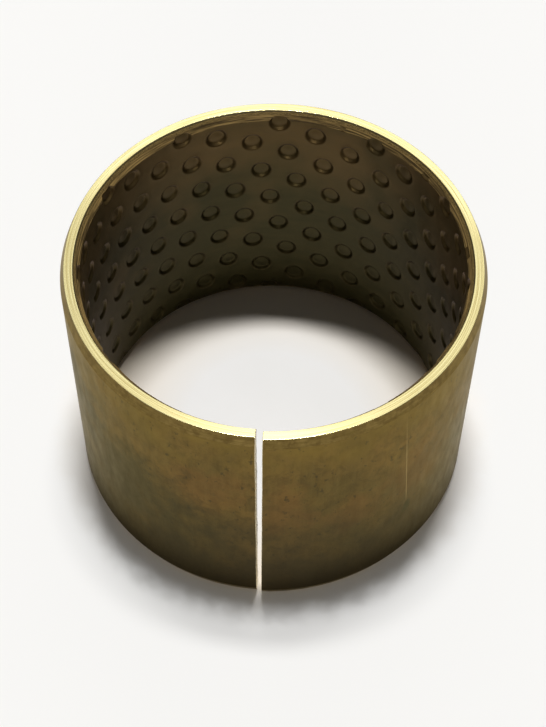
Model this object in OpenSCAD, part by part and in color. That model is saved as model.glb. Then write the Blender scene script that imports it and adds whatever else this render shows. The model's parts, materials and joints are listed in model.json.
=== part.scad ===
// Split wrapped sleeve bushing, metric, lined and pocketed.
// One bronze strip is rolled into a tube that stays open along a straight split.
// Its bore side carries a thin sintered bronze layer and a dark sliding lining with blind lubricant pockets.
// Frame: +Z runs along the bore, the lower end face lies at Z = 0, the split faces -Y.

/* [Sleeve] */
// Bore diameter over the sliding lining
bore_d = 50; // [44:1:60]
// Whole wall thickness, from the bore to the outside
wall = 2.5; // [2.25:0.05:3]
// Length along the axis
length = 40; // [30:1:60]

/* [Layers] */
// Thickness of the sliding lining
lining_t = 0.45; // [0.42:0.01:0.5]
// Thickness of the sintered layer that bonds the lining to the strip
sinter_t = 0.2; // [0.1:0.05:0.25]

/* [End chamfers] */
// Length of the outer chamfer along the axis
outer_chamfer_length = 1.5; // [0.8:0.1:2]
// Angle of the outer chamfer against the axis
outer_chamfer_angle = 20; // [15:1:25]
// Length of the inner chamfer along the axis
inner_chamfer_length = 1.3; // [0.6:0.1:1.6]
// Depth of the inner chamfer into the wall, which reaches through both bore layers
inner_chamfer_depth = 0.8; // [0.8:0.05:1.2]

/* [Split] */
// Width of the split at the upper end
gap_top = 0.9; // [0.3:0.05:1.5]
// Width of the split at the lower end
gap_bottom = 0.65; // [0.3:0.05:1.5]

/* [Pockets] */
// Diameter of a pocket at the bore surface
pocket_d = 3; // [2.4:0.1:3]
// Radius of the ball that shapes a pocket
pocket_ball_r = 3.2; // [3:0.05:3.2]
// Long side of the pattern's centred cell
cell_long = 9; // [9:0.1:12]
// Short side of the pattern's centred cell
cell_short = 6.05; // [6.05:0.05:8]
// Tilt of the cell's long side against the running direction
cell_tilt = 12; // [8:1:16]
// Place of one pocket around the bore, measured from the line opposite the split
start_around = -0.9; // [-4:0.1:4]
// Height of the same pocket above the lower end
start_up = 16.7; // [12:0.1:28]

/* [Hidden] */
bore_r = bore_d / 2;
outside_r = bore_r + wall;
sinter_r = bore_r + lining_t;
shell_r = sinter_r + sinter_t;
// Radii between which the end faces are flat
flat_inner_r = bore_r + inner_chamfer_depth;
flat_outer_r = outside_r - outer_chamfer_length * tan(outer_chamfer_angle);
pocket_r = pocket_d / 2;
pocket_depth = pocket_ball_r - sqrt(pow(pocket_ball_r, 2) - pow(pocket_r, 2));
// Distance around the bore from the line opposite the split to the split itself
half_strip = PI * bore_r;
// Land left between the split and the nearest pocket
split_land = 0.4;
// How far a cutter reaches past what it cuts
clear = 1;
ring_facets = 240;
ball_facets = 40;

// Height of the chamfered end above the flat end face, at radius r
function end_rise(r) = max(
    inner_chamfer_length * (flat_inner_r - r) / inner_chamfer_depth,
    outer_chamfer_length * (r - flat_outer_r) / (outside_r - flat_outer_r),
    0);

// Half the width of the split at height z
function half_gap(z) = (gap_bottom + (gap_top - gap_bottom) * z / length) / 2;

// Pocket centres [around, up]: a centred rectangular lattice on the unrolled strip.
// Pockets that would break into the split are left out.
pocket_span = ceil((half_strip + length) / cell_short);
pocket_centres = [
    for (i = [-pocket_span : pocket_span], j = [-pocket_span : pocket_span], half = [0, 0.5])
        let (
            u = (i + half) * cell_long,
            v = (j + half) * cell_short,
            around = start_around + u * cos(cell_tilt) + v * sin(cell_tilt),
            up = start_up + u * sin(cell_tilt) - v * cos(cell_tilt)
        )
        if (abs(around) < half_strip - gap_top / 2 - pocket_r - split_land
            && up > -pocket_r && up < length + pocket_r)
            [around, up]
];

// The gap between the two ends of the strip
module split_cutter() {
    translate([0, -bore_r + clear, 0])
        rotate([90, 0, 0])
            linear_extrude(wall + 2 * clear)
                polygon([
                    [-half_gap(-clear), -clear],
                    [half_gap(-clear), -clear],
                    [half_gap(length + clear), length + clear],
                    [-half_gap(length + clear), length + clear]
                ]);
}

// One split layer of the wall; radii lists the corners of its section from the bore outwards
module layer(radii) {
    last = len(radii) - 1;
    difference() {
        rotate_extrude($fn = ring_facets)
            polygon(concat(
                [for (r = radii) [r, end_rise(r)]],
                [for (i = [last : -1 : 0]) [radii[i], length - end_rise(radii[i])]]
            ));
        split_cutter();
    }
}

// Structural strip with chamfered ends, which the housing grips
module backing_shell() {
    color([0.50, 0.42, 0.22])
        layer([shell_r, flat_inner_r, flat_outer_r, outside_r]);
}

// Thin porous bronze layer between the strip and the lining
module sinter_layer() {
    color([0.66, 0.55, 0.30])
        layer([sinter_r, shell_r]);
}

// Sliding surface with its blind ball-shaped pockets
module sliding_lining() {
    color([0.20, 0.17, 0.12])
        difference() {
            layer([bore_r, sinter_r]);
            for (centre = pocket_centres)
                rotate([0, 0, 90 - centre[0] / bore_r * 180 / PI])
                    translate([bore_r + pocket_depth - pocket_ball_r, 0, centre[1]])
                        sphere(pocket_ball_r, $fn = ball_facets);
        }
}

backing_shell();
sinter_layer();
sliding_lining();
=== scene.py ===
"""Looks of the split sleeve bushing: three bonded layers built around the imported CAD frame.

Lengths are millimetres up to the point where a mesh is made, and metres after that.
Angles around the part are measured at the axis from the split, which faces -Y, towards +X.
"""

import json
import math
import random

import bpy
import numpy as np
from mathutils import Matrix, Vector
from mathutils.geometry import delaunay_2d_cdt


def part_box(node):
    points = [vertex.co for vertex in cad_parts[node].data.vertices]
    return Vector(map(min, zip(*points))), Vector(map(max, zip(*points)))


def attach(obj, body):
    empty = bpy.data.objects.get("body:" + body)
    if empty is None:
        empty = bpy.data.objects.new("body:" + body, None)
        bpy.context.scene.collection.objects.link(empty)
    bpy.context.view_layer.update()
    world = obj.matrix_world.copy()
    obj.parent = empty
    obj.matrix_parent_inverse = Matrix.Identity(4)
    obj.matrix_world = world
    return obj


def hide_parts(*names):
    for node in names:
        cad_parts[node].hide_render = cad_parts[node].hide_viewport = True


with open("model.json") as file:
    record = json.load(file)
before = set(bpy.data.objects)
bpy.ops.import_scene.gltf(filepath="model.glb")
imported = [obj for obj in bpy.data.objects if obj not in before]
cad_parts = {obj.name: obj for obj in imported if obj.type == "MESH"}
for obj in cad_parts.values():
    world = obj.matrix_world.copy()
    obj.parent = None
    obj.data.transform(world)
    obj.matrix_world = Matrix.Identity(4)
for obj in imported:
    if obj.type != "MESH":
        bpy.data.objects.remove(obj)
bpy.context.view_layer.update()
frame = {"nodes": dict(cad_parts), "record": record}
MM = 0.001
random.seed(7)


# ---------------------------------------------------------------- sizes, the main ones read from the frame

def mount(name):
    """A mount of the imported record, by its name."""
    return next(m for m in frame["record"]["mounts"] if m["name"] == name)


def node_box(name):
    """A node's lowest and highest corners in millimetres."""
    low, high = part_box(name)
    return low / MM, high / MM


def cad_half_gap(height):
    """Half the split's width at a height, from the backing shell's own corners."""
    corners = [v.co / MM for v in frame["nodes"]["backing_shell"].data.vertices]
    return min(abs(c.x) for c in corners if c.y < 0 and abs(c.z - height) < 0.01)


BORE_R = mount("bore")["dims"]["r_mm"]
OUTSIDE_R = mount("outside")["dims"]["r_mm"]
LENGTH = node_box("backing_shell")[1].z
SINTER_R = node_box("sliding_lining")[1].x
SHELL_R = node_box("sinter_layer")[1].x
LINING_RISE = node_box("sliding_lining")[0].z
SINTER_RISE = node_box("sinter_layer")[0].z
INNER_CHAMFER = (LENGTH - mount("bore")["dims"]["length_mm"]) / 2
OUTER_CHAMFER = (LENGTH - mount("outside")["dims"]["length_mm"]) / 2
CHAMFER_SLOPE = (SINTER_R - BORE_R) / (INNER_CHAMFER - LINING_RISE)
FLAT_INNER_R = BORE_R + CHAMFER_SLOPE * INNER_CHAMFER
OUTER_CHAMFER_ANGLE = math.radians(20)
FLAT_OUTER_R = OUTSIDE_R - OUTER_CHAMFER * math.tan(OUTER_CHAMFER_ANGLE)
HALF_GAP_LOW = cad_half_gap(0)
HALF_GAP_HIGH = cad_half_gap(LENGTH)

# Pocket pattern, as in the CAD source: a tilted, centred rectangular lattice on the unrolled lining
CELL_LONG = 9.0
CELL_SHORT = 6.05
CELL_TILT = math.radians(12)
START_AROUND = -0.9
START_UP = 16.7
SPLIT_LAND = 0.4

# Section of a pocket. A reach is the distance from a pocket's centre as a share of its rim's
POCKET_HALF_WIDTH = 1.50
POCKET_HALF_HEIGHT = 1.62
POCKET_DEPTH = 0.33
POCKET_FLOOR = 0.66
POCKET_CROWN = 0.06
CROWN_REACH = 0.62
LIP_HEIGHT = 0.022
LIP_WIDTH = 0.08
LIP_REACH = 1.08
# Half side of the square around a pocket inside which points are measured against it
POCKET_SQUARE = 3

# Rings of points around each pocket as (reach, points), closer together where its wall is steep
POCKET_RINGS = ((0, 1), (0.22, 8), (0.42, 14), (0.56, 20), (0.66, 26), (0.72, 28), (0.77, 28), (0.82, 28),
                (0.87, 28), (0.92, 28), (0.96, 28), (1.00, 28), (1.05, 28), (1.12, 28), (1.24, 24))
PAST_RINGS = 1.38

# Spacing of the lining's points: along its edges, on the land between pockets, and on its plain back
EDGE_SPACING = 0.35
LAND_STEP = 0.85
BACK_STEP_AROUND = 0.8
BACK_STEP_UP = 2.5
CREASE_STEP = 0.14
EDGE_MARGIN = 0.06
CREASE_MARGIN = 0.1

# Free ends of the strip: how far each stands off the true circle, and over what angle that fades
RIGHT_END_OUT = 0.20
LEFT_END_OUT = -0.10
END_REACH = math.radians(32)

# Division of the wrapped layers: rings around, rings on a rounded split edge, and points on a rounded corner
RING_STEPS = 400
EDGE_STEPS = 4
CORNER_STEPS = 4
# Distance of the extra points beside a rounded corner
SUPPORT = 0.04


def half_gap(height, side):
    """Half the split's width, with the slight wander of a sheared edge. side is +1 at the +X edge."""
    plain = HALF_GAP_LOW + (HALF_GAP_HIGH - HALF_GAP_LOW) * height / LENGTH
    wander = 0.022 * math.sin(0.43 * height + 1.1 * side) + 0.014 * math.sin(1.31 * height + 2.0 * side)
    fine = 0.008 * math.sin(3.7 * height + side)
    return plain + (1.0 if side < 0 else 0.35) * (wander + fine)


def end_stand_off(angle):
    """How far the wall stands outside the true circle, near the two free ends of the strip."""
    right = max(0.0, 1 - angle / END_REACH)
    left = max(0.0, 1 - (2 * math.pi - angle) / END_REACH)
    return RIGHT_END_OUT * right * right + LEFT_END_OUT * left * left


def at(radius, angle, height):
    """A point in metres from its radius, its angle from the split and its height, in millimetres."""
    r = (radius + end_stand_off(angle)) * MM
    return (r * math.sin(angle), -r * math.cos(angle), height * MM)


# ---------------------------------------------------------------- meshes

def make_mesh(name, points, faces, materials, face_materials=None, sharp_angle=35):
    mesh = bpy.data.meshes.new(name)
    mesh.from_pydata(points, [], faces)
    for material in materials:
        mesh.materials.append(material)
    if face_materials is not None:
        mesh.polygons.foreach_set("material_index", face_materials)
    mesh.polygons.foreach_set("use_smooth", [True] * len(mesh.polygons))
    mesh.validate()
    mesh.update()
    mesh.set_sharp_from_angle(angle=math.radians(sharp_angle))
    piece = bpy.data.objects.new(name, mesh)
    bpy.context.scene.collection.objects.link(piece)
    return piece


def rounded_section(corners, step):
    """Closed (radius, height) outline with each corner rounded by its own radius and long sides divided."""
    outline = []
    count = len(corners)
    for i, (r, z, radius) in enumerate(corners):
        corner = Vector((r, z))
        before = Vector(corners[i - 1][:2]) - corner
        after = Vector(corners[(i + 1) % count][:2]) - corner
        turn = before.angle(after)
        cut = radius / math.tan(turn / 2)
        start = corner + before.normalized() * cut
        stop = corner + after.normalized() * cut
        steps = CORNER_STEPS if radius > 0 else 0
        for k in range(steps + 1):
            t = k / steps if steps else 0.0
            outline.append((start * (1 - t) + corner * t) * (1 - t) + (corner * (1 - t) + stop * t) * t)
    divided = []
    for i, point in enumerate(outline):
        following = outline[(i + 1) % len(outline)]
        side = (following - point).length
        parts = max(1, round(side / step))
        shares = [k / parts for k in range(parts)]
        # A long side gets a point close to each of its ends, which keeps its shading flat
        if parts > 1:
            shares = [0.0, SUPPORT / side, *shares[1:], 1 - SUPPORT / side]
        divided += [point.lerp(following, share) for share in shares]
    return divided


def inset(outline, depth):
    """The outline moved inwards by depth, to round the edge where the section ends at the split."""
    moved = []
    for i, point in enumerate(outline):
        along = outline[(i + 1) % len(outline)] - outline[i - 1]
        moved.append(point + Vector((-along.y, along.x)).normalized() * depth)
    return moved


def wrapped_solid(name, corners, step, edge_round, materials, pick_material):
    """A split ring: the section of the given corners, swept from one end of the strip to the other."""
    outline = rounded_section(corners, step)
    # Each ring is (share of the way round, distance past the strip end, inset of the section)
    turns = [math.pi / 2 * (1 - k / EDGE_STEPS) for k in range(EDGE_STEPS + 1)]
    rings = [(0.0, edge_round * (1 - math.sin(a)), edge_round * (1 - math.cos(a))) for a in turns]
    rings.append((0.0, edge_round + SUPPORT, 0.0))
    middle = [(k / RING_STEPS, None, 0.0) for k in range(1, RING_STEPS)]
    ends = [(1.0, distance, depth) for _, distance, depth in reversed(rings)]
    points = []
    for share, distance, depth in rings + middle + ends:
        for r, z in (inset(outline, depth) if depth else outline):
            first = math.asin(half_gap(z, 1) / r)
            last = 2 * math.pi - math.asin(half_gap(z, -1) / r)
            if distance is None:
                angle = first + (last - first) * share
            else:
                angle = first + distance / r if share == 0 else last - distance / r
            points.append(at(r, angle, z))
    size = len(outline)
    total = len(points) // size
    faces = []
    for k in range(total - 1):
        for i in range(size):
            j = (i + 1) % size
            faces.append((k * size + i, (k + 1) * size + i, (k + 1) * size + j, k * size + j))
    indices = [pick_material(outline[i], outline[(i + 1) % size]) for i in range(size)] * (total - 1)
    sheared_faces = EDGE_STEPS * size
    indices[:sheared_faces] = [len(materials) - 1] * sheared_faces
    indices[-sheared_faces:] = [len(materials) - 1] * sheared_faces
    # One face closes the section at each end of the strip
    faces += [tuple(range(size)), tuple(reversed(range(len(points) - size, len(points))))]
    indices += [len(materials) - 1] * 2
    return make_mesh(name, points, faces, materials, indices)


def pocket_centres():
    """Pocket centres on the unrolled lining: (distance from the line opposite the split, height)."""
    half_strip = math.pi * BORE_R
    limit = half_strip - HALF_GAP_HIGH - POCKET_HALF_WIDTH - SPLIT_LAND
    span = math.ceil((half_strip + LENGTH) / CELL_SHORT)
    centres = []
    for i in range(-span, span + 1):
        for j in range(-span, span + 1):
            for half in (0.0, 0.5):
                u = (i + half) * CELL_LONG
                v = (j + half) * CELL_SHORT
                around = START_AROUND + u * math.cos(CELL_TILT) + v * math.sin(CELL_TILT)
                up = START_UP + u * math.sin(CELL_TILT) - v * math.cos(CELL_TILT)
                if abs(around) < limit and -POCKET_HALF_HEIGHT < up < LENGTH + POCKET_HALF_HEIGHT:
                    centres.append((around, up))
    return centres


def pocket_profile(reach):
    """Depth of a coined pocket at a reach: a crowned floor, a steep wall and a raised lip."""
    wall = np.clip((1 - reach) / (1 - POCKET_FLOOR), 0, 1)
    depth = POCKET_DEPTH * wall * wall * (3 - 2 * wall)
    crown = POCKET_CROWN * np.clip(1 - (reach / CROWN_REACH) ** 2, 0, 1) ** 2
    lip = LIP_HEIGHT * np.exp(-(((reach - LIP_REACH) / LIP_WIDTH) ** 2))
    return depth - crown - lip


class LiningSurface:
    """Depth of the lining's inner surface below the bore, over the unrolled strip."""

    def __init__(self):
        self.centres = np.array(pocket_centres())
        # Each pocket's own factors for width and depth
        self.scale = np.array([[random.uniform(0.97, 1.03), random.uniform(0.92, 1.06)]
                               for _ in self.centres])

    def reach(self, points):
        """For each point, its reach from the nearest pocket, and which pocket that is."""
        best = np.full(len(points), 99.0)
        which = np.zeros(len(points), int)
        for k, (centre, scale) in enumerate(zip(self.centres, self.scale)):
            near = np.nonzero((np.abs(points - centre) < POCKET_SQUARE).all(1))[0]
            size = np.array([POCKET_HALF_WIDTH, POCKET_HALF_HEIGHT]) * scale[0]
            distance = np.hypot(*((points[near] - centre) / size).T)
            closer = distance < best[near]
            best[near[closer]] = distance[closer]
            which[near[closer]] = k
        return best, which

    def pocket(self, points):
        reach, which = self.reach(points)
        return pocket_profile(reach) * self.scale[which, 1]

    def chamfer(self, heights):
        return CHAMFER_SLOPE * (INNER_CHAMFER - np.minimum(heights, LENGTH - heights))

    def depth(self, points):
        return np.clip(np.maximum(self.pocket(points), self.chamfer(points[:, 1])), -1, SINTER_R - BORE_R)


def strip_end(height, side):
    """How far around the unrolled lining its edge lies at a height."""
    return side * BORE_R * (math.pi - math.asin(half_gap(height, side) / BORE_R))


def crease_runs(surface, end):
    """Where the end chamfer's cut surface stops, as runs of (around, height) points along one end."""
    inward = 1 if end == 0 else -1
    half_strip = math.pi * BORE_R - HALF_GAP_HIGH
    arounds = np.arange(-half_strip + 0.1, half_strip - 0.1, CREASE_STEP)
    rise = np.linspace(LINING_RISE, INNER_CHAMFER + 0.12, 90)
    heights = end + inward * rise
    grid = np.stack(np.meshgrid(arounds, heights), -1).reshape(-1, 2)
    over = surface.pocket(grid).reshape(len(rise), -1) - surface.chamfer(heights)[:, None]
    runs = [[]]
    for k, around in enumerate(arounds):
        i = int(np.argmax(over[:, k] > 0))
        if i == 0:
            if runs[-1]:
                runs.append([])
            continue
        share = over[i - 1, k] / (over[i - 1, k] - over[i, k])
        point = (float(around), float(heights[i - 1] + share * (heights[i] - heights[i - 1])))
        if runs[-1] and abs(point[1] - runs[-1][-1][1]) > 0.3:
            runs.append([])
        runs[-1].append(point)
    return [run for run in runs if len(run) > 1]


def lining_mesh(name, materials):
    """The sliding lining as one closed solid: a fine pocketed face, a plain back and two split faces."""
    surface = LiningSurface()
    low, high = LINING_RISE, LENGTH - LINING_RISE
    rows = np.linspace(low, high, round((high - low) / EDGE_SPACING))
    right = [(strip_end(z, 1), z) for z in rows]
    left = [(strip_end(z, -1), z) for z in rows]
    columns = round(2 * strip_end(low, 1) / EDGE_SPACING)
    shares = [k / columns for k in range(1, columns)]
    bottom = [(left[0][0] + (right[0][0] - left[0][0]) * t, low) for t in shares]
    top = [(left[-1][0] + (right[-1][0] - left[-1][0]) * t, high) for t in shares]
    boundary = left[::-1] + bottom + right + top[::-1]
    edges = [(i, (i + 1) % len(boundary)) for i in range(len(boundary))]

    def split_edges(heights):
        """How far around the left and the right split edge lie at some heights."""
        return (np.interp(heights, rows, [p[0] for p in left]),
                np.interp(heights, rows, [p[0] for p in right]))

    def within(sheet, faces):
        """The faces whose middles lie between the split edges, without slivers that bridge their waves."""
        middles = np.array([sheet[list(face)].mean(0) for face in faces])
        left_edge, right_edge = split_edges(middles[:, 1])
        kept = (middles[:, 0] > left_edge) & (middles[:, 0] < right_edge)
        return [face for face, keep in zip(faces, kept) if keep]

    def place(around, height, radius):
        return at(radius, math.pi - around / BORE_R, height)

    extra = []
    for centre, scale in zip(surface.centres, surface.scale):
        for reach, count in POCKET_RINGS:
            for k in range(count):
                turn = 2 * math.pi * (k + 0.5 * (count % 8 == 4)) / count
                extra.append((centre[0] + POCKET_HALF_WIDTH * scale[0] * reach * math.cos(turn),
                              centre[1] + POCKET_HALF_HEIGHT * scale[0] * reach * math.sin(turn)))
    # Points on the plain land between the pockets
    land = [(s + LAND_STEP / 2 * (row % 2), z)
            for row, z in enumerate(np.arange(low + LAND_STEP / 2, high, LAND_STEP * 0.87))
            for s in np.arange(-math.pi * BORE_R, math.pi * BORE_R, LAND_STEP)]
    land = np.array(land)
    extra += [tuple(p) for p in land[surface.reach(land)[0] > PAST_RINGS]]
    creases = crease_runs(surface, 0) + crease_runs(surface, LENGTH)
    on_crease = np.array([point for run in creases for point in run])
    extra = np.array(extra)
    left_edge, right_edge = split_edges(extra[:, 1])
    inside = ((extra[:, 1] > low + EDGE_MARGIN) & (extra[:, 1] < high - EDGE_MARGIN)
              & (extra[:, 0] > left_edge + EDGE_MARGIN) & (extra[:, 0] < right_edge - EDGE_MARGIN))
    # Points on the crease between chamfer and lining take the place of the ones close to it
    for k, point in enumerate(extra):
        if inside[k] and min(point[1], LENGTH - point[1]) < INNER_CHAMFER + 0.3:
            inside[k] = np.hypot(*(on_crease - point).T).min() > CREASE_MARGIN
    flat = boundary + [tuple(p) for p in extra[inside]]
    for run in creases:
        for k, point in enumerate(run):
            if k:
                edges.append((len(flat) - 1, len(flat)))
            flat.append(point)
    result = delaunay_2d_cdt([Vector(p) for p in flat], edges, [], 1, 1e-5, True)
    front = np.array([tuple(v) for v in result[0]])
    depth = surface.depth(front)
    front_faces = within(front, result[2])
    origin = {source: k for k, sources in enumerate(result[3]) for source in sources}
    rim = [origin[i] for i in range(len(boundary))]

    # The back is a coarser sheet that shares the boundary's places
    coarse = [(s, z) for z in np.arange(low + 2, high - 1, BACK_STEP_UP)
              for s in np.arange(left[0][0] + 1, right[0][0] - 1, BACK_STEP_AROUND)]
    back_flat = [Vector(p) for p in boundary + coarse]
    back_result = delaunay_2d_cdt(back_flat, edges[:len(boundary)], [], 1, 1e-5, True)
    back = np.array([tuple(v) for v in back_result[0]])
    back_origin = {source: k for k, sources in enumerate(back_result[3]) for source in sources}
    on_end = {back_origin[i]: rim[i] for i, p in enumerate(boundary)
              if p[1] <= low + 1e-6 or p[1] >= high - 1e-6}
    points = [place(s, z, BORE_R + w) for (s, z), w in zip(front, depth)]
    back_index = {}
    for k, (s, z) in enumerate(back):
        if k in on_end:
            back_index[k] = on_end[k]
        else:
            back_index[k] = len(points)
            points.append(place(s, z, SINTER_R))
    faces = [tuple(face) for face in front_faces]
    faces += [tuple(back_index[v] for v in reversed(face)) for face in within(back, back_result[2])]
    for i in range(len(boundary)):
        j = (i + 1) % len(boundary)
        a, b = rim[i], rim[j]
        c, d = back_index[back_origin[j]], back_index[back_origin[i]]
        ring = []
        for v in (b, a, d, c):
            if v not in ring:
                ring.append(v)
        if len(ring) > 2:
            faces.append(tuple(ring))
    middles = np.array([front[list(face)].mean(0) for face in front_faces])
    indices = [int(cut) for cut in surface.chamfer(middles[:, 1]) > surface.pocket(middles)]
    indices += [1] * (len(faces) - len(indices))
    piece = make_mesh(name, points, faces, materials, indices, sharp_angle=25)
    # Painted shade sits on a pocket's wall, and less on its floor
    reach = surface.reach(front)[0]
    pocket_wall_shade = np.zeros(len(points))
    pocket_wall_shade[:len(front)] = np.interp(reach, [0.0, 0.65, 0.80, 1.03, 1.11], [0.15, 0.30, 0.85, 1.0, 0.0])
    piece.data.attributes.new("pocket_wall_shade", "FLOAT", "POINT").data.foreach_set("value", pocket_wall_shade)
    return piece


# ---------------------------------------------------------------- materials

class Shader:
    """A material's node tree, with short calls to add and join nodes."""

    def __init__(self, name):
        self.material = bpy.data.materials.new(name)
        self.material.use_nodes = True
        self.tree = self.material.node_tree
        self.surface = self.tree.nodes["Principled BSDF"]
        self.place = self.node("ShaderNodeTexCoord").outputs["Object"]

    def node(self, kind, inputs=None, **settings):
        made = self.tree.nodes.new(kind)
        for key, value in settings.items():
            setattr(made, key, value)
        for key, value in (inputs or {}).items():
            if isinstance(value, bpy.types.NodeSocket):
                self.tree.links.new(value, made.inputs[key])
            else:
                made.inputs[key].default_value = value
        return made

    def set(self, **inputs):
        for key, value in inputs.items():
            socket = self.surface.inputs[key.replace("_", " ")]
            if isinstance(value, bpy.types.NodeSocket):
                self.tree.links.new(value, socket)
            else:
                socket.default_value = value

    def math(self, operation, a, b=0.0):
        return self.node("ShaderNodeMath", {0: a, 1: b}, operation=operation).outputs[0]

    def stretched(self, scale):
        """Object coordinates in millimetres, each axis times its own factor."""
        factors = tuple(s / MM for s in scale)
        return self.node("ShaderNodeVectorMath", {0: self.place, 1: factors}, operation="MULTIPLY").outputs[0]

    def noise(self, vector, scale=1.0, detail=3.0, roughness=0.5, distortion=0.0):
        inputs = {"Vector": vector, "Scale": scale, "Detail": detail, "Roughness": roughness,
                  "Distortion": distortion}
        return self.node("ShaderNodeTexNoise", inputs).outputs["Fac"]

    def ramp(self, value, low, high, to_low=0.0, to_high=1.0):
        return self.node("ShaderNodeMapRange", {"Value": value, "From Min": low, "From Max": high,
                                                "To Min": to_low, "To Max": to_high}).outputs["Result"]

    def mix(self, share, first, second):
        made = self.node("ShaderNodeMix", data_type="RGBA")
        for socket, value in zip([made.inputs[0], made.inputs[6], made.inputs[7]], (share, first, second)):
            if isinstance(value, bpy.types.NodeSocket):
                self.tree.links.new(value, socket)
            else:
                socket.default_value = value if isinstance(value, float) else (*value, 1.0)
        return made.outputs[2]

    def bump(self, height, distance, strength):
        inputs = {"Height": height, "Distance": distance * MM, "Strength": strength}
        return self.node("ShaderNodeBump", inputs).outputs["Normal"]

    def polar(self, radial, angular):
        """(radius in mm times radial, angle in radians times angular, height in mm) as a vector."""
        xyz = self.node("ShaderNodeSeparateXYZ", {0: self.place})
        flat = self.node("ShaderNodeCombineXYZ", {0: xyz.outputs[0], 1: xyz.outputs[1]}).outputs[0]
        radius = self.node("ShaderNodeVectorMath", {0: flat}, operation="LENGTH").outputs["Value"]
        angle = self.math("ARCTAN2", xyz.outputs[0], xyz.outputs[1])
        parts = {0: self.math("MULTIPLY", radius, radial / MM), 1: self.math("MULTIPLY", angle, angular),
                 2: self.math("MULTIPLY", xyz.outputs[2], 1 / MM)}
        return self.node("ShaderNodeCombineXYZ", parts).outputs[0]


def rolled_bronze():
    """Tarnished outside of the strip: satin brown with redder and greyer patches, specks and a scratch, plus
    painted shade towards the foot and a painted reflection towards the top.
    """
    m = Shader("rolled_bronze")
    xyz = m.node("ShaderNodeSeparateXYZ", {0: m.stretched((1, 1, 1))})
    height = xyz.outputs[2]
    towards_split = m.math("MULTIPLY", xyz.outputs[1], -1.0)
    around = m.math("MULTIPLY", m.math("ARCTAN2", xyz.outputs[0], towards_split), OUTSIDE_R)
    wander = m.ramp(m.noise(m.stretched((1, 1, 1)), 0.28, 5, 0.65), 0.3, 0.7, -0.55, 0.55)

    def patch(centre_around, centre_height, half_width, half_height):
        """Soft ragged patch on the unrolled wall, 1 in its middle and 0 outside."""
        across = m.math("DIVIDE", m.math("SUBTRACT", around, centre_around), half_width)
        up = m.math("DIVIDE", m.math("SUBTRACT", height, centre_height), half_height)
        apart = m.math("SQRT", m.math("ADD", m.math("MULTIPLY", across, across), m.math("MULTIPLY", up, up)))
        return m.ramp(m.math("ADD", apart, wander), 0.35, 1.15, 1.0, 0.0)

    clouds = m.ramp(m.noise(m.stretched((1, 1, 0.6)), 0.13, 5, 0.62), 0.36, 0.66)
    mottle = m.ramp(m.noise(m.stretched((1, 1, 0.8)), 0.62, 6, 0.72, 0.6), 0.44, 0.64)
    streaks = m.noise(m.stretched((1, 1, 0.06)), 2.2, 3, 0.6)
    flecks = m.ramp(m.noise(m.stretched((1, 1, 0.6)), 1.3, 3, 0.6), 0.61, 0.70)
    colour = m.mix(clouds, (0.104, 0.072, 0.026), (0.172, 0.104, 0.033))
    colour = m.mix(m.math("MULTIPLY", mottle, 0.74), colour, (0.078, 0.052, 0.021))
    colour = m.mix(m.ramp(streaks, 0.35, 0.75, 0.0, 0.20), colour, (0.205, 0.150, 0.056))
    for place in ((3.6, 23.0, 4.0, 6.5), (-8.0, 26.0, 6.0, 6.0), (23.0, 22.0, 6.0, 7.0),
                  (12.0, 19.0, 5.0, 4.5)):
        colour = m.mix(m.math("MULTIPLY", patch(*place), 0.40), colour, (0.185, 0.092, 0.034))
    for place in ((-20.0, 18.0, 13.0, 11.0), (-33.0, 26.0, 8.0, 8.0), (60.0, 20.0, 16.0, 12.0)):
        colour = m.mix(m.math("MULTIPLY", patch(*place), 0.84), colour, (0.047, 0.040, 0.022))
    # Painted shade and reflection: darker towards the foot, where the wall mirrors the floor's shadow, and
    # lighter and more golden towards the top, where it mirrors lit floor
    shade_height = m.math("ADD", height, m.ramp(m.noise(m.stretched((1, 1, 1)), 0.16, 4, 0.55), 0.3, 0.7, -5.0, 5.0))
    colour = m.mix(m.ramp(shade_height, 7.0, 27.0, 0.84, 0.0), colour, (0.043, 0.036, 0.024))
    colour = m.mix(m.ramp(shade_height, 31.0, 40.0, 0.0, 0.66), colour, (0.190, 0.128, 0.031))
    colour = m.mix(m.math("MULTIPLY", flecks, 0.65), colour, (0.040, 0.034, 0.022))
    # One fine scratch up the wall, with a dark fleck under it
    leaning = m.math("ADD", around, m.math("MULTIPLY", height, 0.083))
    off_line = m.math("ABSOLUTE", m.math("SUBTRACT", leaning, 22.4))
    ends = m.math("MULTIPLY", m.ramp(height, 14.5, 17.0), m.ramp(height, 38.0, 28.0))
    scratch = m.math("MULTIPLY", m.ramp(off_line, 0.03, 0.12, 1.0, 0.0), ends)
    colour = m.mix(m.math("MULTIPLY", scratch, 0.60), colour, (0.36, 0.27, 0.12))
    colour = m.mix(patch(21.4, 13.4, 0.6, 1.3), colour, (0.040, 0.038, 0.020))
    rough = m.ramp(m.noise(m.stretched((1, 1, 0.4)), 0.7, 4, 0.6), 0.3, 0.7, 0.34, 0.46)
    grain = m.math("ADD", m.math("MULTIPLY", streaks, 0.6), m.noise(m.stretched((1, 1, 0.3)), 5.0, 2))
    m.set(Base_Color=colour, Metallic=1.0, Roughness=rough, Specular_Tint=(0.84, 0.765, 0.575, 1.0),
          Normal=m.bump(grain, 0.010, 0.5))
    return m.material


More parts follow.
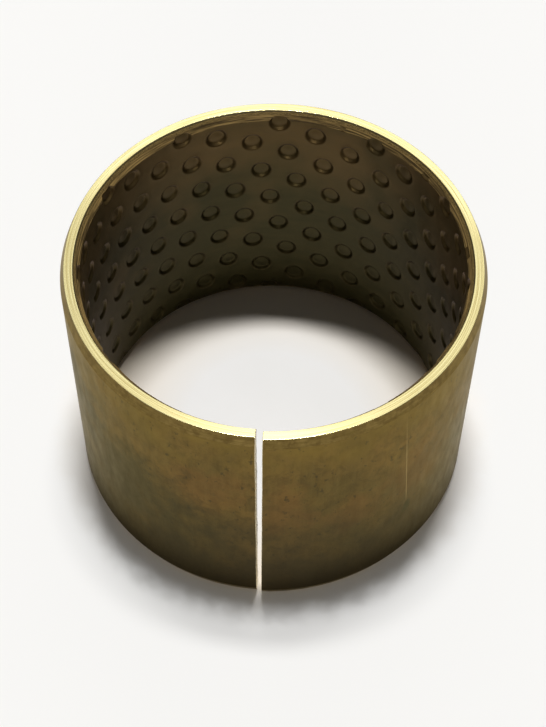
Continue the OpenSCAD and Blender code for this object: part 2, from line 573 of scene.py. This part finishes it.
def turned_bronze():
    """Turned end face: bright pale bronze with concentric tool lines, which spread highlights across them."""
    m = Shader("turned_bronze")
    lines = m.noise(m.polar(8.0, 1.5), 1.0, 3, 0.65)
    broad = m.noise(m.polar(2.2, 2.5), 1.0, 2, 0.5)
    colour = m.mix(m.ramp(lines, 0.36, 0.64), (0.46, 0.37, 0.145), (0.82, 0.755, 0.41))
    colour = m.mix(m.ramp(broad, 0.35, 0.7, 0.0, 0.4), colour, (0.68, 0.59, 0.28))
    m.set(Base_Color=colour, Metallic=1.0, Roughness=m.ramp(lines, 0.3, 0.7, 0.25, 0.18), Anisotropic=0.5,
          Anisotropic_Rotation=0.25, Normal=m.bump(lines, 0.006, 0.3),
          Tangent=m.node("ShaderNodeTangent", direction_type="RADIAL", axis="Z").outputs[0])
    return m.material


def chamfer_bronze():
    """Outer chamfer, which carries the same tarnish as the wall over fine turning lines."""
    m = Shader("chamfer_bronze")
    lines = m.noise(m.stretched((0.25, 0.25, 5.0)), 1.0, 4, 0.65)
    stain = m.ramp(m.noise(m.stretched((1, 1, 1)), 0.9, 5, 0.7), 0.42, 0.62)
    colour = m.mix(m.ramp(lines, 0.3, 0.7), (0.140, 0.096, 0.026), (0.250, 0.172, 0.056))
    colour = m.mix(m.math("MULTIPLY", stain, 0.7), colour, (0.105, 0.066, 0.019))
    m.set(Base_Color=colour, Metallic=1.0, Roughness=0.36, Specular_Tint=(0.92, 0.86, 0.70, 1.0),
          Normal=m.bump(lines, 0.006, 0.5))
    return m.material


def bored_bronze():
    """Inner chamfer of the strip: coarser and darker than the end face."""
    m = Shader("bored_bronze")
    lines = m.noise(m.stretched((0.25, 0.25, 6.0)), 1.0, 3, 0.6)
    grit = m.noise(m.stretched((1, 1, 1)), 3.0, 3, 0.6)
    colour = m.mix(m.ramp(lines, 0.3, 0.7), (0.085, 0.064, 0.022), (0.170, 0.125, 0.045))
    m.set(Base_Color=colour, Metallic=0.35, Roughness=0.50, Normal=m.bump(grit, 0.02, 0.8))
    return m.material


def sheared_bronze():
    """Faces of the split: pale freshly sheared metal with drag marks."""
    m = Shader("sheared_bronze")
    drag = m.noise(m.stretched((0.3, 3.0, 1.6)), 1.3, 4, 0.6)
    colour = m.mix(m.ramp(drag, 0.3, 0.7), (0.72, 0.60, 0.34), (0.94, 0.86, 0.62))
    m.set(Base_Color=colour, Metallic=0.6, Roughness=0.25, Normal=m.bump(drag, 0.004, 0.3))
    return m.material


def sintered_bronze():
    """Cut edge of the porous layer: fused bronze grains."""
    m = Shader("sintered_bronze")
    cells = m.node("ShaderNodeTexVoronoi", {"Vector": m.stretched((1, 1, 1)), "Scale": 9.0})
    grains = cells.outputs["Distance"]
    colour = m.mix(m.ramp(grains, 0.1, 0.7), (0.48, 0.335, 0.12), (0.15, 0.10, 0.034))
    m.set(Base_Color=colour, Metallic=0.2, Roughness=0.45, Specular_IOR_Level=0.15,
          Normal=m.bump(grains, 0.05, 0.8))
    return m.material


def lining_polymer():
    """Dark sliding surface with a soft sheen: olive below, redder and lighter towards the top, partly as
    painted light, and darker on the pocket walls as painted shade.

    It is partly metallic to give the sheen its colour, although the layer stands for a filled polymer.
    """
    m = Shader("lining_polymer")
    height = m.node("ShaderNodeSeparateXYZ", {0: m.stretched((0, 0, 1))}).outputs[2]
    patchy = m.ramp(m.noise(m.stretched((1, 1, 1)), 0.075, 3, 0.6), 0.3, 0.7, -9.0, 9.0)
    # Redder and lighter towards the top: partly the layer's own redder tone, partly painted light where the
    # upper bore mirrors lit floor
    redder = m.ramp(m.math("ADD", height, patchy), 20.0, 36.0)
    drawn = m.noise(m.polar(1.0, 6.0), 0.9, 4, 0.6)
    fine = m.noise(m.stretched((1, 1, 1)), 6.0, 2, 0.5)
    pocket_wall_shade = m.node("ShaderNodeAttribute", attribute_name="pocket_wall_shade").outputs["Fac"]
    colour = m.mix(redder, (0.052, 0.046, 0.016), (0.140, 0.092, 0.034))
    colour = m.mix(m.ramp(drawn, 0.35, 0.7, 0.0, 0.35), colour, (0.105, 0.084, 0.034))
    # Painted shade: the pocket walls are darkened and their floors less so, and the same mask lowers the
    # roughness a little
    colour = m.mix(m.math("MULTIPLY", pocket_wall_shade, 0.30), colour, (0.044, 0.022, 0.007))
    rough = m.math("SUBTRACT", m.ramp(drawn, 0.3, 0.7, 0.36, 0.44), m.math("MULTIPLY", pocket_wall_shade, 0.02))
    m.set(Base_Color=colour, Metallic=0.55, Roughness=rough, IOR=1.35,
          Specular_IOR_Level=0.30, Specular_Tint=(0.60, 0.52, 0.56, 1.0), Normal=m.bump(fine, 0.004, 0.4))
    return m.material


def cut_lining():
    """Cut edge of the lining in the chamfers and the split: browner than the bronze beside it."""
    m = Shader("cut_lining")
    smear = m.noise(m.stretched((0.16, 0.16, 5.5)), 1.0, 4, 0.65)
    colour = m.mix(m.ramp(smear, 0.42, 0.62), (0.055, 0.036, 0.014), (0.34, 0.225, 0.078))
    m.set(Base_Color=colour, Roughness=0.55, Specular_IOR_Level=0.10, Normal=m.bump(smear, 0.01, 0.5))
    return m.material


def pale_floor():
    """Matt white table. Away from the part it is grey and lights itself, which keeps the shadow short."""
    m = Shader("pale_floor")
    radius = m.node("ShaderNodeVectorMath", {0: m.stretched((1, 1, 0))}, operation="LENGTH").outputs["Value"]
    uneven = m.ramp(m.noise(m.stretched((1, 1, 1)), 0.35, 4, 0.65), 0.3, 0.7, -0.5, 0.5)
    reach = {"Value": m.math("ADD", radius, uneven), "From Min": OUTSIDE_R + 0.7, "From Max": OUTSIDE_R + 5.8}
    glow = m.node("ShaderNodeMapRange", reach, interpolation_type="SMOOTHSTEP").outputs["Result"]
    haze = m.ramp(m.noise(m.stretched((1, 1, 1)), 0.05, 5, 0.6), 0.3, 0.7)
    lit = m.mix(haze, (0.865, 0.855, 0.835), (0.895, 0.885, 0.87))
    # A warm tint under the bore stands for the light that comes back off its wall
    warmed = m.math("MULTIPLY", m.ramp(radius, 13.0, BORE_R), m.ramp(radius, BORE_R, OUTSIDE_R, 1.0, 0.25))
    lit = m.mix(warmed, lit, (0.86, 0.765, 0.63))
    m.set(Base_Color=m.mix(glow, lit, (0.30, 0.298, 0.291)), Roughness=0.8, Specular_IOR_Level=0.2,
          Emission_Color=(1.0, 0.992, 0.972, 1.0), Emission_Strength=m.math("MULTIPLY", glow, 0.60))
    return m.material


# ---------------------------------------------------------------- pieces

def section_material(first, second):
    """Material of a side of the shell: 0 wall, 1 end face, 2 outer chamfer, 3 inner chamfer."""
    middle = (first + second) / 2
    if middle.x > OUTSIDE_R - 0.02 or middle.x < SHELL_R + 0.002:
        return 0
    if middle.x > FLAT_OUTER_R:
        return 2
    return 1 if middle.x > FLAT_INNER_R else 3


def build_shell(sheared):
    """The bronze strip: its section's corners as (radius, height, rounding), swept around the axis."""
    lower = [(SHELL_R, SINTER_RISE, 0), (FLAT_INNER_R, 0, 0.03), (FLAT_OUTER_R, 0, 0.06),
             (OUTSIDE_R, OUTER_CHAMFER, 0.5)]
    upper = [(radius, LENGTH - height, rounding) for radius, height, rounding in reversed(lower)]
    materials = [rolled_bronze(), turned_bronze(), chamfer_bronze(), bored_bronze(), sheared]
    return wrapped_solid("backing_shell_strip", lower + upper, 0.5, 0.05, materials, section_material)


def build_sinter(sheared):
    corners = [(SINTER_R, LINING_RISE, 0), (SHELL_R, SINTER_RISE, 0), (SHELL_R, LENGTH - SINTER_RISE, 0),
               (SINTER_R, LENGTH - LINING_RISE, 0)]
    materials = [sintered_bronze(), sheared]
    return wrapped_solid("sinter_layer_bronze", corners, 1.2, 0.02, materials, lambda first, second: 0)


def build_pieces():
    sheared = sheared_bronze()
    shell = build_shell(sheared)
    sinter = build_sinter(sheared)
    lining = lining_mesh("sliding_lining_pocketed", [lining_polymer(), cut_lining()])
    for piece, node, slot in ((shell, "backing_shell", "bronze_strip"),
                              (sinter, "sinter_layer", "sintered_bronze"),
                              (lining, "sliding_lining", "sliding_polymer")):
        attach(piece, "root")
        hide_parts(node)


# ---------------------------------------------------------------- stage, light and camera

def build_stage():
    half = 2.0
    floor = make_mesh("floor", [(-half, -half, 0), (half, -half, 0), (half, half, 0), (-half, half, 0)],
                      [(0, 1, 2, 3)], [pale_floor()])


def area_light(name, distance, tilt, turn, size, power, tint=(1, 1, 1)):
    """A soft light aimed at the part: tilt from straight overhead, turn about Z from +Y, in degrees."""
    data = bpy.data.lights.new(name, "AREA")
    data.shape = "RECTANGLE"
    data.size, data.size_y = size
    data.energy = power
    data.color = tint
    light = bpy.data.objects.new(name, data)
    bpy.context.scene.collection.objects.link(light)
    aim = Matrix.Rotation(-math.radians(turn), 4, "Z") @ Matrix.Rotation(-math.radians(tilt), 4, "X")
    middle = Matrix.Translation((0, 0, LENGTH * MM / 2))
    light.matrix_world = middle @ (aim @ Matrix.Translation((0, 0, distance)))
    return light


def build_light():
    area_light("key", 1.2, 10.5, 1, (0.26, 0.09), 13.5)
    area_light("back_panel", 0.9, 36, 0, (0.46, 0.36), 0.62, (1.0, 0.99, 0.97))
    area_light("low_strip", 0.9, 46, 0, (0.46, 0.12), 0.30)
    # Panels that only show in reflections, so that the bright metal has something to mirror from every side
    for number, turn in enumerate((75, 140, 220, 285), start=1):
        panel = area_light(f"mirror_panel_{number}", 0.9, 52, turn, (0.90, 0.62), 0.95)
        panel.visible_diffuse = False
    area_light("front_fill", 1.0, 66, 180, (0.5, 0.25), 1.7, (1.0, 0.97, 0.90))
    world = bpy.data.worlds.new("studio")
    bpy.context.scene.world = world
    world.use_nodes = True
    sky = world.node_tree.nodes["Background"]
    sky.inputs["Color"].default_value = (0.95, 0.97, 1.0, 1.0)
    sky.inputs["Strength"].default_value = 0.10
    bpy.context.scene.view_settings.view_transform = "Standard"


def build_camera():
    data = bpy.data.cameras.new("camera")
    data.sensor_fit = "VERTICAL"
    data.sensor_height = 24.0
    data.lens = 55.9
    camera = bpy.data.objects.new("camera", data)
    bpy.context.scene.collection.objects.link(camera)
    # Standing off the part, above its top face, turned a little past the split, and tilted down
    back, above, turned, down, roll = 133.06, 171.87, 3.4, 55.77, 0.565
    spin = Matrix.Rotation(math.radians(turned), 4, "Z")
    place = Matrix.Translation((0, -back * MM, (LENGTH + above) * MM))
    look = Matrix.Rotation(math.radians(90 - down), 4, "X") @ Matrix.Rotation(math.radians(roll), 4, "Z")
    camera.matrix_world = spin @ place @ look
    bpy.context.scene.camera = camera


build_camera()
build_stage()
build_light()
build_pieces()
